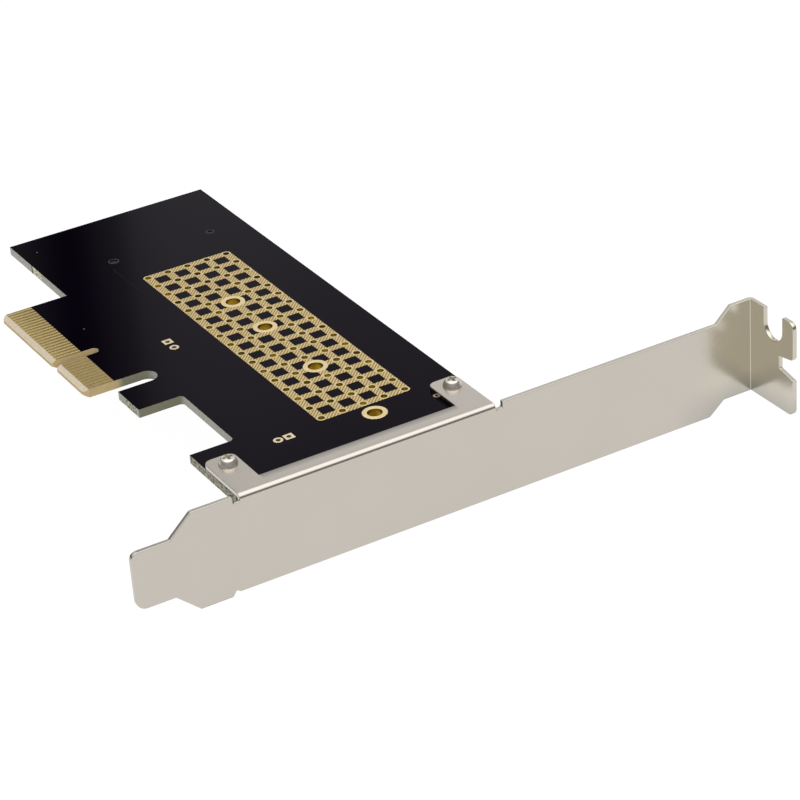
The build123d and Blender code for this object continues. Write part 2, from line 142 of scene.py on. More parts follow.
class CardColours(bpy.types.PropertyGroup):
    """Colours of the card's finishes"""

    mask: FloatVectorProperty(
        name="Solder mask", description="Lacquer over the laminate", subtype="COLOR",
        default=(0.001, 0.0003, 0.0023), min=0.0, max=1.0)
    # Grey of the two specks, and of the painted highlight ring round the peg holes
    rim_highlight_and_speck_grey: FloatVectorProperty(
        name="Worn mask", description="Thin grey ring round the peg holes", subtype="COLOR",
        default=(0.06, 0.06, 0.062), min=0.0, max=1.0)
    laminate: FloatVectorProperty(
        name="Laminate edge", description="Cut edge of the glass-epoxy laminate", subtype="COLOR",
        default=(0.37, 0.37, 0.33), min=0.0, max=1.0)
    scar: FloatVectorProperty(
        name="Break-off scar", description="Laminate torn where the board was snapped from its panel",
        subtype="COLOR", default=(0.31, 0.30, 0.21), min=0.0, max=1.0)
    resin: FloatVectorProperty(
        name="Uncoated laminate", description="Laminate edge beside the contacts, without mask",
        subtype="COLOR", default=(0.47, 0.36, 0.19), min=0.0, max=1.0)
    bare_laminate: FloatVectorProperty(
        name="Bare laminate", description="Laminate between the edge contacts", subtype="COLOR",
        default=(0.17, 0.11, 0.038), min=0.0, max=1.0)
    # Paler laminate between the contacts of the short section, set beside that section's painted shade on the contacts
    pale_gap_laminate: FloatVectorProperty(
        name="Worn laminate", description="Laminate between the contacts of the short section",
        subtype="COLOR", default=(0.24, 0.18, 0.08), min=0.0, max=1.0)
    gold: FloatVectorProperty(
        name="Gold", description="Thin gold on the copper field", subtype="COLOR",
        default=(0.84, 0.67, 0.355), min=0.0, max=1.0)
    contact_gold: FloatVectorProperty(
        name="Contact gold", description="Gold on the edge contacts", subtype="COLOR",
        default=(0.76, 0.575, 0.23), min=0.0, max=1.0)
    bright_gold: FloatVectorProperty(
        name="Land gold", description="Gold on rings, lands and pads", subtype="COLOR",
        default=(0.95, 0.77, 0.42), min=0.0, max=1.0)
    bore: FloatVectorProperty(
        name="Standoff bore", description="Gold down the standoff holes, where little light reaches",
        subtype="COLOR", default=(0.26, 0.155, 0.012), min=0.0, max=1.0)
    # Painted shade: the gold down the thermal vias is darker and deeper in colour than the lands
    via_bore_shade: FloatVectorProperty(
        name="Via bore", description="Gold down the thermal vias", subtype="COLOR",
        default=(0.5, 0.415, 0.05), min=0.0, max=1.0)
    nickel: FloatVectorProperty(
        name="Bracket nickel", description="Satin nickel on the bracket", subtype="COLOR",
        default=(0.553, 0.513, 0.458), min=0.0, max=1.0)
    bright_nickel: FloatVectorProperty(
        name="Screw nickel", description="Bright nickel on the screws", subtype="COLOR",
        default=(0.72, 0.68, 0.60), min=0.0, max=1.0)
    tin: FloatVectorProperty(
        name="Tin", description="Solder and tinned terminals", subtype="COLOR",
        default=(0.60, 0.60, 0.58), min=0.0, max=1.0)


class Nodes:
    """A node tree whose nodes are added and linked by name"""

    def __init__(self, tree):
        self.tree = tree

    def add(self, kind, inputs=None, **settings):
        """A new node with its settings made and its inputs filled or linked"""
        node = self.tree.nodes.new(kind)
        for key, value in settings.items():
            setattr(node, key, value)
        for key, value in (inputs or {}).items():
            self.put(value, node.inputs[key])
        return node

    def put(self, value, socket):
        """Links an output to the socket, or sets the socket's own value"""
        if isinstance(value, bpy.types.NodeSocket):
            self.tree.links.new(value, socket)
        elif socket.type == "RGBA":
            socket.default_value = (*value[:3], 1.0)
        else:
            socket.default_value = value

    def axes(self, vector):
        return self.add("ShaderNodeSeparateXYZ", {"Vector": vector}).outputs

    def math(self, operation, *values):
        node = self.add("ShaderNodeMath", operation=operation)
        for socket, value in zip(node.inputs, values):
            self.put(value, socket)
        return node.outputs["Value"]

    def mix(self, factor, first, second):
        node = self.add("ShaderNodeMix", data_type="RGBA")
        self.put(factor, node.inputs["Factor"])
        self.put(first, node.inputs["A"])
        self.put(second, node.inputs["B"])
        return node.outputs["Result"]

    def span(self, value, low, high, to_low, to_high):
        """The value carried over from one range to another and held at its ends"""
        inputs = {"Value": value, "From Min": low, "From Max": high, "To Min": to_low, "To Max": to_high}
        return self.add("ShaderNodeMapRange", inputs).outputs["Result"]

    def band(self, value, low, high, soft):
        """One between the two values and nought outside them, with soft ends"""
        return self.math("MULTIPLY", self.span(value, low - soft, low + soft, 0.0, 1.0),
                         self.span(value, high - soft, high + soft, 1.0, 0.0))

    def levels(self, value, low, high, stops):
        """Levels of up to two, given at stops on the way from the low value to the high one"""
        share = self.span(value, low, high, 0.0, 1.0)
        ramp = self.add("ShaderNodeValToRGB", {"Fac": share})
        elements = ramp.color_ramp.elements
        marks = [((stop - low) / (high - low), level / 2) for stop, level in stops]
        for element, (position, level) in zip(list(elements), (marks[0], marks[-1])):
            element.position = position
            element.color = (level, level, level, 1.0)
        for position, level in marks[1:-1]:
            elements.new(position).color = (level, level, level, 1.0)
        return self.math("MULTIPLY", ramp.outputs["Color"], 2.0)


class Shader(Nodes):
    """The nodes of a new material"""

    def __init__(self, name):
        self.material = bpy.data.materials.new(name)
        self.material.use_nodes = True
        super().__init__(self.material.node_tree)
        self.surface = self.tree.nodes["Principled BSDF"]

    def finish(self, **inputs):
        """Fills the surface's sockets, named with underscores for spaces"""
        for key, value in inputs.items():
            self.put(value, self.surface.inputs[key.replace("_", " ")])
        return self.material

    def place(self):
        return self.add("ShaderNodeTexCoord").outputs["Object"]

    def noise(self, scale, detail=2.0, roughness=0.5, vector=None):
        inputs = {"Vector": vector or self.place(), "Scale": scale, "Detail": detail, "Roughness": roughness}
        return self.add("ShaderNodeTexNoise", inputs).outputs["Fac"]

    def reach(self, x, y, centre):
        """Distance from an upright axis through the centre"""
        across = self.math("SUBTRACT", x, centre[0])
        along = self.math("SUBTRACT", y, centre[1])
        squares = self.math("ADD", self.math("MULTIPLY", across, across), self.math("MULTIPLY", along, along))
        return self.math("SQRT", squares)

    def bump(self, height, distance, strength=1.0, normal=None):
        inputs = {"Height": height, "Distance": distance, "Strength": strength}
        if normal is not None:
            inputs["Normal"] = normal
        return self.add("ShaderNodeBump", inputs).outputs["Normal"]


def tint(colour, factors):
    """The colour with each channel times its own factor"""
    return tuple(channel * factor for channel, factor in zip(colour, factors))


def shade(colour, factor):
    """The colour made darker or lighter"""
    return tint(colour, (factor, factor, factor))


def laminate_wall(shader, colours, place, facing, weave, contact_end, short_end):
    """Cut wall: layered glass cloth, uncoated resin beside the contacts, break-off scars and a crack, with painted
    shade on the walls that face -Y and inside the peg holes
    """
    x, y, z = place
    layers = shader.math("SINE", shader.math("MULTIPLY", z, 2 * math.pi / CLOTH_LAYER))
    fibres = shader.math("ADD", shader.math("MULTIPLY", layers, 0.12), weave)
    wall = shader.mix(shader.span(fibres, 0.3, 0.75, 0.0, 1.0),
                      shade(colours.laminate, 0.8), shade(colours.laminate, 1.15))
    # Painted shade: the cut walls that face -Y are darkened, as if turned away from the light
    front = shader.span(facing[1], -0.9, -0.2, 1.0, 0.0)
    darker = shader.mix(weave, tint(colours.laminate, (0.4, 0.39, 0.3)), tint(colours.laminate, (0.62, 0.6, 0.48)))
    wall = shader.mix(front, wall, darker)
    resin = shader.mix(weave, shade(colours.resin, 0.8), shade(colours.resin, 1.15))
    resin_end = shader.span(y, -8.0 * MM, -6.0 * MM, contact_end * 1.2, contact_end * 1.5)
    past_end = shader.math("SUBTRACT", x, resin_end)
    near_contacts = shader.math("MULTIPLY", shader.span(past_end, -0.6 * MM, 0.6 * MM, 1.0, 0.0),
                                shader.math("GREATER_THAN", y, short_end - 0.5 * MM))
    wall = shader.mix(near_contacts, wall, resin)
    snapped = shader.math("LESS_THAN", x, SCAR_REACH)
    torn = shader.span(shader.noise(1500.0, 3.0, 0.6), 0.4, 0.62, 0.35, 1.0)
    scarred = shader.math("MULTIPLY", torn, snapped)
    speckle = shader.span(shader.noise(2100.0, 2.0, 0.7), 0.4, 0.6, 0.0, 1.0)
    for low, high, tone in SCARS:
        zone = shader.math("MULTIPLY", shader.band(y, low, high, 0.15 * MM), scarred)
        scar = shader.mix(speckle, shade(colours.scar, tone * 0.2), shade(colours.scar, tone * 1.65))
        wall = shader.mix(zone, wall, scar)
    crack = shader.math("MULTIPLY", shader.band(y, CRACK[0], CRACK[1], 0.03 * MM), snapped)
    wall = shader.mix(crack, wall, (0.04, 0.04, 0.02))
    # Painted shade: the walls of the peg holes take the near-black mask colour
    for centre, radius in PEG_HOLES:
        peg_bore_shade = shader.math("LESS_THAN", shader.reach(x, y, centre), radius + 0.05 * MM)
        wall = shader.mix(peg_bore_shade, wall, colours.mask)
    return wall


def contact_gaps(shader, colours, x, y, contact_end):
    """Bare laminate between the contacts, paler in the short section and towards the mating edge"""
    inwards = shader.math("MULTIPLY", shader.span(y, -MM, MM, 0.0, 1.0),
                          shader.span(x, contact_end * 0.2, contact_end * 0.7, 0.25, 1.0))
    gap = shader.mix(inwards, colours.pale_gap_laminate, colours.bare_laminate)
    return shader.mix(shader.noise(1100.0, 3.0), gap, shader.mix(0.2, gap, colours.resin))


def lacquer(shader, colours, x, y):
    """Solder mask with a grey ring round each peg hole, a painted highlight of the hole's rim, and two specks"""
    mask = shader.mix(shader.noise(45.0, 3.0), shade(colours.mask, 0.8), shade(colours.mask, 1.25))
    # Painted highlight: a grey ring on each peg hole's rim
    for centre, radius in PEG_HOLES:
        ring = shader.band(shader.reach(x, y, centre), radius, radius + PEG_RIM_HIGHLIGHT, 0.03 * MM)
        mask = shader.mix(ring, mask, colours.rim_highlight_and_speck_grey)
    for centre in SPECKS:
        dot = shader.math("LESS_THAN", shader.reach(x, y, centre), SPECK_RADIUS)
        mask = shader.mix(dot, mask, shade(colours.rim_highlight_and_speck_grey, 2.0))
    return mask


def lacquer_height(shader, x, y):
    """Faint waves of the mask, and ridges where traces run under it"""
    height = shader.math("MULTIPLY", shader.noise(500.0, 2.0), 0.1)
    for across, low, high in TRACES:
        ridge = shader.math("MULTIPLY", shader.band(x, across - TRACE_HALF, across + TRACE_HALF, 0.04 * MM),
                            shader.band(y, low, high, 0.2 * MM))
        height = shader.math("ADD", height, ridge)
    return height


def board_material(colours):
    """Mask on both faces, bare laminate in the contact field and on the cut walls"""
    shader = Shader("solder_mask")
    place = shader.axes(shader.place())
    x, y, _ = place
    facing = shader.axes(shader.add("ShaderNodeNewGeometry").outputs["Normal"])
    up = shader.math("ABSOLUTE", facing[2])
    flat = shader.math("GREATER_THAN", up, 0.98)
    sloped = shader.math("MULTIPLY", shader.math("GREATER_THAN", up, 0.3), shader.math("LESS_THAN", up, 0.98))
    contacts_low, contacts_high = (Vector(corner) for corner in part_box("solder_side_contacts"))
    contact_end = contacts_high.x
    short_end = contacts_low.y - 0.6 * MM
    in_field = shader.math("MULTIPLY", shader.math("LESS_THAN", x, contact_end),
                           shader.math("GREATER_THAN", y, short_end))
    weave = shader.noise(2600.0, 4.0, 0.7)
    wall = laminate_wall(shader, colours, place, facing, weave, contact_end, short_end)
    bevel = shader.mix(shader.noise(1500.0, 3.0), (0.44, 0.365, 0.265), (0.62, 0.545, 0.425))
    cut_away = shader.mix(sloped, wall, bevel)
    face = shader.mix(in_field, lacquer(shader, colours, x, y), contact_gaps(shader, colours, x, y, contact_end))
    covered = shader.math("MULTIPLY", flat, shader.math("SUBTRACT", 1.0, in_field))
    height = shader.mix(covered, weave, lacquer_height(shader, x, y))
    colour = shader.mix(flat, cut_away, face)
    rough = shader.span(covered, 0.0, 1.0, 0.75, 0.06)
    return shader.finish(Base_Color=colour, Roughness=rough, Specular_IOR_Level=0.028,
                         Specular_Tint=(0.95, 0.55, 1.0), Normal=shader.bump(height, 0.01 * MM, 0.5))


def grid_material(sizes, colours):
    """Thin gold over copper with fine diagonal lines"""
    shader = Shader("grid_gold")
    x, y, _ = shader.axes(shader.place())
    diagonal = shader.math("MULTIPLY", shader.math("SUBTRACT", x, y), math.sqrt(0.5))
    wave = shader.math("SINE", shader.math("MULTIPLY", diagonal, 2 * math.pi / sizes.hatch_pitch))
    lines = shader.span(wave, -0.2, 0.6, 0.0, 1.0)
    stain = shader.noise(220.0, 4.0, 0.6)
    light = shader.mix(stain, shade(colours.gold, 0.92), shade(colours.gold, 1.12))
    colour = shader.mix(lines, tint(colours.gold, (0.5, 0.44, 0.3)), light)
    rough = shader.span(lines, 0.0, 1.0, 0.52, 0.36)
    return shader.finish(Base_Color=colour, Metallic=1.0, Roughness=rough,
                         Normal=shader.bump(lines, 0.02 * MM, 0.6))


def gold_material(name, colour, rough, bore=None, fingers=None):
    """Gold plate with a slight cloud and fine grain, painted shade down the holes, and painted shade on the contacts'
    flanks and short section
    """
    shader = Shader(name)
    cloud = shader.noise(350.0, 3.0)
    grain = shader.noise(5200.0, 2.0)
    tone = shader.mix(cloud, shade(colour, 0.86), shade(colour, 1.08))
    if fingers:
        x, y, _ = shader.axes(shader.place())
        low, high = (Vector(corner) for corner in fingers)
        turns = shader.math("DIVIDE", shader.math("SUBTRACT", high.y - CONTACT_WIDTH / 2, y), CONTACT_PITCH)
        swell = shader.math("COSINE", shader.math("MULTIPLY", turns, 2 * math.pi))
        flank = shader.span(swell, -0.2, 0.5, 1.0, 0.0)
        inwards = shader.span(x, low.x, high.x, 0.3, 1.0)
        long_part = shader.span(y, -MM, MM, 0.15, 1.0)
        shadow = shader.math("MULTIPLY", shader.math("MULTIPLY", flank, inwards), long_part)
        # Painted shade: the short section's contacts are darker, and the flanks of each contact darker still
        tone = shader.mix(long_part, shade(colour, 0.64), tone)
        tone = shader.mix(shadow, tone, shade(colour, 0.4))
    # Painted shade: upright faces down the holes take the darker bore colour
    if bore:
        normal = shader.add("ShaderNodeNewGeometry").outputs["Normal"]
        upright = shader.math("LESS_THAN", shader.math("ABSOLUTE", shader.axes(normal)[2]), 0.5)
        bore_shade = shader.mix(shader.span(cloud, 0.35, 0.65, 0.0, 1.0), shade(bore, 0.6), shade(bore, 1.4))
        tone = shader.mix(upright, tone, bore_shade)
    spread = shader.span(grain, 0.3, 0.7, rough - 0.06, rough + 0.08)
    return shader.finish(Base_Color=tone, Metallic=1.0, Roughness=spread,
                         Normal=shader.bump(grain, 0.004 * MM, 0.4))


def bracket_shades(shader, colour, tone, place):
    """Painted shade along the strip's inner edge, painted dark reflections on the flange's lower end and along the
    lowest edge, and a lighter tone by the flange
    """
    x, y, z = shader.axes(place)
    left, right, inner, reach = STRIP
    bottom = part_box("bracket")[0][2]
    # Painted shade along the strip's inner edge
    near_edge = shader.span(y, inner - reach, inner, 0.0, 1.0)
    strip_edge_shade = shader.math("MULTIPLY", shader.band(x, left, right, 0.2 * MM), near_edge)
    tone = shader.mix(strip_edge_shade, tone, shade(colour, 0.5))
    by_flange = shader.span(x, 92.0 * MM, 98.0 * MM, 0.0, 1.0)
    tone = shader.mix(by_flange, tone, tint(colour, (1.07, 1.08, 1.02)))
    # Painted dark reflection on the flange's lower end
    low_end_shade = shader.math("MULTIPLY", shader.span(x, 88.0 * MM, 100.0 * MM, 0.0, 1.0),
                          shader.span(z, bottom + 1.5 * MM, bottom + 7.0 * MM, 1.0, 0.0))
    tone = shader.mix(low_end_shade, tone, tint(colour, (0.68, 0.72, 0.76)))
    # Painted dark reflection along the bracket's lowest edge
    lowest_edge_shade = shader.span(z, bottom + 0.1 * MM, bottom + 0.2 * MM, 0.7, 0.0)
    return shader.mix(lowest_edge_shade, tone, shade(colour, 0.3))


def nickel_material(name, colour, rough, grain_size, on_bracket=False):
    """Plated steel: fine orange peel, faint clouds and a few rub marks"""
    shader = Shader(name)
    place = shader.place()
    cloud = shader.noise(60.0, 3.0)
    grain = shader.noise(grain_size, 3.0, 0.6)
    stretched = shader.add("ShaderNodeMapping", {"Vector": place, "Scale": (12.0, 900.0, 240.0)}).outputs["Vector"]
    rubs = shader.noise(6.0, 2.0, 0.5, stretched)
    tone = shader.mix(cloud, shade(colour, 0.97), shade(colour, 1.03))
    # On the bracket the tone also carries painted shade and reflections, from bracket_shades
    if on_bracket:
        tone = bracket_shades(shader, colour, tone, place)
    spread = shader.math("ADD", shader.span(grain, 0.3, 0.7, rough - 0.02, rough + 0.03),
                         shader.span(rubs, 0.55, 0.8, 0.0, 0.05))
    return shader.finish(Base_Color=tone, Metallic=1.0, Roughness=spread,
                         Normal=shader.bump(grain, 0.003 * MM, 0.12))


def plastic_material(name, colour, rough, grain_size=1800.0, level=0.4):
    """Moulded or fired skin with a fine grain"""
    shader = Shader(name)
    grain = shader.noise(grain_size, 3.0, 0.6)
    tone = shader.mix(grain, shade(colour, 0.8), shade(colour, 1.2))
    spread = shader.span(grain, 0.3, 0.7, rough - 0.06, rough + 0.06)
    return shader.finish(Base_Color=tone, Roughness=spread, Specular_IOR_Level=level,
                         Normal=shader.bump(grain, 0.01 * MM, 0.4))


def deselect():
    bpy.ops.object.select_all(action="DESELECT")


def pick(*pieces):
    """Selects the pieces alone and makes the first one active"""
    deselect()
    for piece in pieces:
        piece.select_set(True)
    bpy.context.view_layer.objects.active = pieces[0]


def select_edges(piece, test):
    """Opens the piece in edit mode with the edges selected whose two ends pass the test"""
    pick(piece)
    bpy.ops.object.mode_set(mode="EDIT")
    bpy.ops.mesh.select_mode(type="EDGE")
    bpy.ops.mesh.select_all(action="DESELECT")
    bpy.ops.object.mode_set(mode="OBJECT")
    for edge in piece.data.edges:
        edge.select = test(*(piece.data.vertices[index].co for index in edge.vertices))
    bpy.ops.object.mode_set(mode="EDIT")


def new_piece(name):
    """Names the object that a primitive operator just added"""
    piece = bpy.context.active_object
    piece.name = name
    piece.data.name = name
    return piece


def settle(piece):
    """Moves the object's place, turn and scale into its mesh"""
    pick(piece)
    bpy.ops.object.transform_apply(location=True, rotation=True, scale=True)
    return piece


def settle_at(piece, place):
    """Shifts the mesh to the place and leaves the object at the origin"""
    piece.location = place
    return settle(piece)


def modify(piece, kind, **settings):
    """Adds a modifier and applies it"""
    pick(piece)
    modifier = piece.modifiers.new(kind.lower(), kind)
    for key, value in settings.items():
        setattr(modifier, key, value)
    bpy.ops.object.modifier_apply(modifier=modifier.name)
    return piece


def tidy_mesh(piece, merge=0.0002 * MM):
    """Merges doubles and points all faces outwards"""
    pick(piece)
    bpy.ops.object.mode_set(mode="EDIT")
    bpy.ops.mesh.select_all(action="SELECT")
    bpy.ops.mesh.remove_doubles(threshold=merge)
    bpy.ops.mesh.normals_make_consistent(inside=False)
    bpy.ops.object.mode_set(mode="OBJECT")
    return piece


def smooth(piece, degrees=35.0):
    """Smooth shading over shallow edges, with large faces kept flat"""
    pick(piece)
    bpy.ops.object.shade_smooth_by_angle(angle=math.radians(degrees))
    return modify(piece, "WEIGHTED_NORMAL", keep_sharp=True, weight=90)


def copies(template, places, name):
    """One copy of the template, each with its own mesh, at each place, joined into one piece"""
    made = []
    for place in places:
        twin = template.copy()
        twin.data = template.data.copy()
        twin.data.transform(Matrix.Translation(place))
        bpy.context.collection.objects.link(twin)
        made.append(twin)
    bpy.data.objects.remove(template)
    pick(*made)
    if len(made) > 1:
        bpy.ops.object.join()
    return new_piece(name)


def cylinder(name, radius, low, high, sides=32, place=(0.0, 0.0)):
    """An upright cylinder between two heights, for a cut"""
    deselect()
    middle = (place[0], place[1], (low + high) / 2)
    bpy.ops.mesh.primitive_cylinder_add(vertices=sides, radius=radius, depth=high - low, location=middle)
    return settle(new_piece(name))


def box(name, low, high):
    """A block between two corners, for a cut or to be shaped"""
    deselect()
    bpy.ops.mesh.primitive_cube_add(size=1.0, location=[(a + b) / 2 for a, b in zip(low, high)])
    piece = new_piece(name)
    piece.scale = [b - a for a, b in zip(low, high)]
    return settle(piece)


def cut(piece, tool):
    """Cuts the tool out of the piece and deletes the tool"""
    modify(piece, "BOOLEAN", operation="DIFFERENCE", object=tool, solver="EXACT")
    bpy.data.objects.remove(tool)
    return piece


def lathe(name, profile, sides=48):
    """A ring or head turned about Z: a circle primitive, extruded and scaled along (radius, z) points"""
    deselect()
    first_r, first_z = profile[0]
    bpy.ops.mesh.primitive_circle_add(vertices=sides, radius=first_r, location=(0, 0, first_z))
    piece = settle(new_piece(name))
    pick(piece)
    bpy.ops.object.mode_set(mode="EDIT")
    bpy.ops.mesh.select_all(action="SELECT")
    radius, height = first_r, first_z
    for next_r, next_z in profile[1:]:
        bpy.ops.mesh.extrude_edges_move(TRANSFORM_OT_translate={"value": (0, 0, next_z - height)})
        bpy.ops.transform.resize(value=(next_r / radius, next_r / radius, 1.0), center_override=(0, 0, next_z))
        radius, height = next_r, next_z
    bpy.ops.object.mode_set(mode="OBJECT")
    return piece


def closed_ring(name, profile, sides=48):
    """A lathe whose profile comes back to its start"""
    piece = lathe(name, [*profile, profile[0]], sides)
    return tidy_mesh(piece, 0.001 * MM)


def dressed(node, name):
    """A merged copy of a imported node's mesh, to finish and show in its place"""
    source = NODES[node]
    piece = source.copy()
    piece.data = source.data.copy()
    bpy.context.collection.objects.link(piece)
    piece.parent = None
    piece.matrix_world = source.matrix_world.copy()
    piece.name = name
    piece.data.name = name
    pick(piece)
    bpy.ops.object.mode_set(mode="EDIT")
    bpy.ops.mesh.select_all(action="SELECT")
    bpy.ops.mesh.remove_doubles(threshold=0.001 * MM)
    bpy.ops.mesh.dissolve_limited(angle_limit=math.radians(0.5))
    bpy.ops.object.mode_set(mode="OBJECT")
    return piece


def coat(piece, material):
    """Gives the piece this one material"""
    piece.data.materials.clear()
    piece.data.materials.append(material)
    return piece


def ride(piece, slot, *replaced):
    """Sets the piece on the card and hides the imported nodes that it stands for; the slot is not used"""
    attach(piece, "root")
    if replaced:
        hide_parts(*replaced)
    return piece


def settings():
    """The card's sizes and colours"""
    return bpy.context.scene.card_sizes, bpy.context.scene.card_colours


def via_places(sizes):
    """Crossings of the copper field that no standoff ring covers"""
    middle = (GRID_LOW + GRID_HIGH) / 2
    clear = sizes.ring_diameter / 2 + sizes.via_diameter / 2
    places = []
    for column in range(GRID_COLUMNS):
        for row in range(GRID_ROWS):
            x = middle.x + (column - (GRID_COLUMNS - 1) / 2) * sizes.via_pitch
            y = middle.y + ((GRID_ROWS - 1) / 2 - row) * sizes.via_pitch
            if all((Vector((x, y)) - ring.xy).length > clear for ring in STANDOFFS):
                places.append(Vector((x, y, 0.0)))
    return places


def window_places(sizes):
    """Middles of the mask windows, one between each four crossings"""
    middle = (GRID_LOW + GRID_HIGH) / 2
    return [
        Vector((middle.x + (column - (GRID_COLUMNS - 2) / 2) * sizes.via_pitch,
                middle.y + ((GRID_ROWS - 2) / 2 - row) * sizes.via_pitch, 0.0))
        for column in range(GRID_COLUMNS - 1) for row in range(GRID_ROWS - 1)]


class CARD_OT_board(bpy.types.Operator):
    """Drill the vias in the board and give it its mask, laminate edges and bare contact field"""

    bl_idname = "card.board"
    bl_label = "Circuit board"

    def execute(self, context):
        sizes, colours = settings()
        board = dressed("circuit_board", "drilled_board")
        drill = cylinder("drill", sizes.via_diameter / 2, BOARD_LOW.z - MM, BOARD_HIGH.z + MM, VIA_SIDES)
        cut(board, copies(drill, via_places(sizes), "drills"))
        coat(board, board_material(colours))
        smooth(board, 20.0)
        ride(board, "solder_mask", "circuit_board")
        return {"FINISHED"}


class CARD_OT_copper_fields(bpy.types.Operator):
    """Cut the thermal copper fields with round vias and mask windows"""

    bl_idname = "card.copper_fields"
    bl_label = "Copper fields and vias"

    def execute(self, context):
        sizes, colours = settings()
        plated = grid_material(sizes, colours)
        for side, node in (("solder", "solder_side_thermal_grid"), ("component", "component_side_thermal_grid")):
            low, high = (Vector(corner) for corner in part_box(node))
            copper = high.z - low.z
            field = box(f"{side}_side_field", low, high)
            select_edges(field, lambda a, b: abs(a.z - b.z) > copper / 2)
            bpy.ops.mesh.bevel(offset=sizes.field_corner, segments=8, affect="EDGES")
            bpy.ops.object.mode_set(mode="OBJECT")
            holes = cylinder("via_hole", sizes.via_diameter / 2, low.z - MM, high.z + MM, VIA_SIDES)
            cut(field, copies(holes, via_places(sizes), "via_holes"))
            half = sizes.window / 2
            pane = box("pane", (-half, -half, low.z - MM), (half, half, high.z + MM))
            cut(field, copies(pane, window_places(sizes), "panes"))
            ring = cylinder("ring_room", sizes.ring_diameter / 2, low.z - MM, high.z + MM, 64)
            rooms = [Vector((place.x, place.y, 0.0)) for place in STANDOFFS]
            cut(field, copies(ring, rooms, "ring_rooms"))
            coat(field, plated)
            ride(field, f"{side}_side_grid_gold", node)
        return {"FINISHED"}


class CARD_OT_plated_holes(bpy.types.Operator):
    """Turn the via barrels with their lands, the standoff rings and the pads of the open pin holes"""

    bl_idname = "card.plated_holes"
    bl_label = "Plated holes"

    def execute(self, context):
        sizes, colours = settings()
        plain = gold_material("ring_gold", colours.bright_gold, 0.3, colours.bore)
        lined = gold_material("via_gold", shade(colours.bright_gold, 0.88), 0.3, colours.via_bore_shade)
        wall = 0.03 * MM
        step = 0.012 * MM
        top = GRID_HIGH.z
        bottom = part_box("component_side_thermal_grid")[0][2]
        hole, land = sizes.via_diameter / 2, sizes.via_land / 2
        barrel = closed_ring("barrel", [
            (hole - wall, bottom - step), (land, bottom - step), (land, bottom), (hole, bottom),
            (hole, top), (land, top), (land, top + step), (hole - wall, top + step)], 24)
        vias = copies(barrel, via_places(sizes), "via_barrels")
        coat(vias, lined)
        ride(vias, "solder_side_grid_gold")
        low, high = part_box("standoff_hole_plating")
        outer = sizes.ring_diameter / 2
        bore = STANDOFF_BORE
        plate = 0.05 * MM
        edge = 0.02 * MM
        eyelet = closed_ring("eyelet", [
            (bore + edge, low[2]), (outer, low[2]), (outer, low[2] + plate), (bore + plate, low[2] + plate),
            (bore + plate, high[2] - plate), (outer, high[2] - plate), (outer, high[2] - edge),
            (outer - edge, high[2]), (bore + edge, high[2]), (bore, high[2] - edge), (bore, low[2] + edge)], 64)
        rings = copies(eyelet, [Vector((place.x, place.y, 0.0)) for place in STANDOFFS], "standoff_rings")
        smooth(rings)
        coat(rings, plain)
        ride(rings, "standoff_ring_gold", "standoff_hole_plating")
        # Painted shade: the bores of the pin pads take a dark brown
        self.pin_pads(gold_material("pad_gold", tint(colours.bright_gold, (1.04, 1.08, 1.3)), 0.3, (0.2, 0.08, 0.005)))
        return {"FINISHED"}

    def pin_pads(self, finish):
        """Square and round pads with lined holes, and the grounding via that a screw tab half covers"""
        low, high = (corner[2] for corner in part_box("pin_pads"))
        wall = 0.015 * MM
        hole, pad = 0.45 * MM, 0.85 * MM
        pieces = []
        for x, y, square in PIN_PADS:
            tube = self.flanged_tube("pad", hole, hole if square else pad, wall, low, high)
            settle_at(tube, (x, y, 0.0))
            pieces.append(tube)
            for bottom, top in ((low, BOARD_LOW.z), (BOARD_HIGH.z, high)):
                if square:
                    plate = box("plate", (x - pad, y - pad, bottom), (x + pad, y + pad, top))
                    pieces.append(cut(plate, cylinder("hole", hole, low - MM, high + MM, 24, (x, y))))
        x, y = GROUND_VIA
        ground = self.flanged_tube("ground", 0.35 * MM, 0.65 * MM, wall, low, high)
        settle_at(ground, (x, y, 0.0))
        tab_room = box("tab_room", (TAB_EDGE, y - MM, BOARD_HIGH.z), (TAB_EDGE + MM, y + MM, high + MM))
        pieces.append(cut(ground, tab_room))
        pick(*pieces)
        bpy.ops.object.join()
        pads = tidy_mesh(new_piece("lined_pads"))
        coat(pads, finish)
        ride(pads, "pin_pad_gold", "pin_pads")

    def flanged_tube(self, name, hole, flange, wall, low, high):
        """A lined hole whose flanges lie on the board's two faces"""
        if flange == hole:
            return closed_ring(name, [(hole - wall, low), (hole, low), (hole, high), (hole - wall, high)], 24)
        return closed_ring(name, [
            (hole - wall, low), (flange, low), (flange, BOARD_LOW.z), (hole, BOARD_LOW.z),
            (hole, BOARD_HIGH.z), (flange, BOARD_HIGH.z), (flange, high), (hole - wall, high)], 24)


class CARD_OT_contacts(bpy.types.Operator):
    """Plate the edge contacts on both faces"""

    bl_idname = "card.contacts"
    bl_label = "Edge contacts"

    def execute(self, context):
        _, colours = settings()
        gold = gold_material("contact_gold", colours.contact_gold, 0.26, fingers=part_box("solder_side_contacts"))
        coat(NODES["solder_side_contacts"], gold)
        coat(NODES["component_side_contacts"], gold)
        return {"FINISHED"}


class CARD_OT_bracket(bpy.types.Operator):
    """Round the stamped edges of the folded bracket and plate it with satin nickel"""

    bl_idname = "card.bracket"
    bl_label = "Slot bracket"

    def execute(self, context):
        sizes, colours = settings()
        bracket = dressed("bracket", "folded_bracket")
        modify(bracket, "BEVEL", width=sizes.sheet_rollover, segments=3, limit_method="ANGLE",
               angle_limit=math.radians(40), use_clamp_overlap=False)
        smooth(bracket, 30.0)
        coat(bracket, nickel_material("bracket_nickel", colours.nickel, 0.2, 1400.0, on_bracket=True))
        ride(bracket, "bracket_plating", "bracket")
        return {"FINISHED"}


